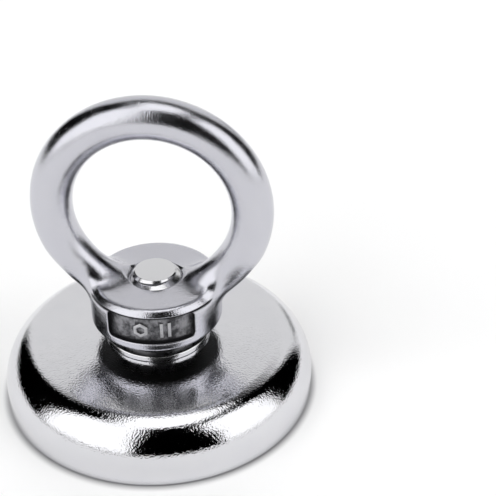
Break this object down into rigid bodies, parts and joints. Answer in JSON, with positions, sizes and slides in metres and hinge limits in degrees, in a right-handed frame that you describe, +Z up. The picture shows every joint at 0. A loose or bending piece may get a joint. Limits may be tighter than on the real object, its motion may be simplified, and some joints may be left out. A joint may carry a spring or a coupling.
{
  "type": "magnet fishing magnet",
  "caption": "Round pot magnet with a rounded nickel-plated steel cup and a stainless eye nut on a countersunk bolt, for pulling steel objects out of water on a rope.",
  "frame": {"origin": "centre of the cup's rim, on the surface that the magnet stands on", "axes": "+Z up along the bolt, from the pulling face to the eye; the hole of the eye runs along Y, so the eye's ring lies in the XZ plane; -Y is the side with the hexagon mark"},
  "size_m": [0.036, 0.036, 0.037],
  "materials": {
    "nickel_plate": "bright nickel plating with a fine grain",
    "magnet_nickel": "satin nickel plating",
    "potting_resin": "dull cured resin",
    "fastener_steel": "bright turned stainless steel",
    "cast_stainless": "polished casting, satin"
  },
  "bodies": {
    "magnet_base": {"cup": "nickel_plate", "ring_magnet": "magnet_nickel", "resin_fill": "potting_resin"},
    "washers": {"plain_washer": "fastener_steel", "lock_washer": "fastener_steel"},
    "bolt": {"countersunk_bolt": "fastener_steel"},
    "nut": {"eye_nut": "cast_stainless"}
  },
  "joints": [
    {"name": "eye_swivel", "type": "hinge", "parent": "magnet_base", "child": "washers", "pos_m": [0, 0, 0.00725], "axis": [0, 0, 1], "continuous": true},
    {"name": "bolt_turn", "type": "hinge", "parent": "washers", "child": "bolt", "pos_m": [0, 0, 0.00725], "axis": [0, 0, 1], "range_deg": [0, 2160]},
    {"name": "eye_nut_rise", "type": "slide", "parent": "washers", "child": "nut", "axis": [0, 0, 1], "range_m": [0, 0.006]}
  ],
  "couplings": [
    {"joint": "bolt_turn", "follows": "eye_nut_rise", "rad_per_m": 6283.2}
  ]
}
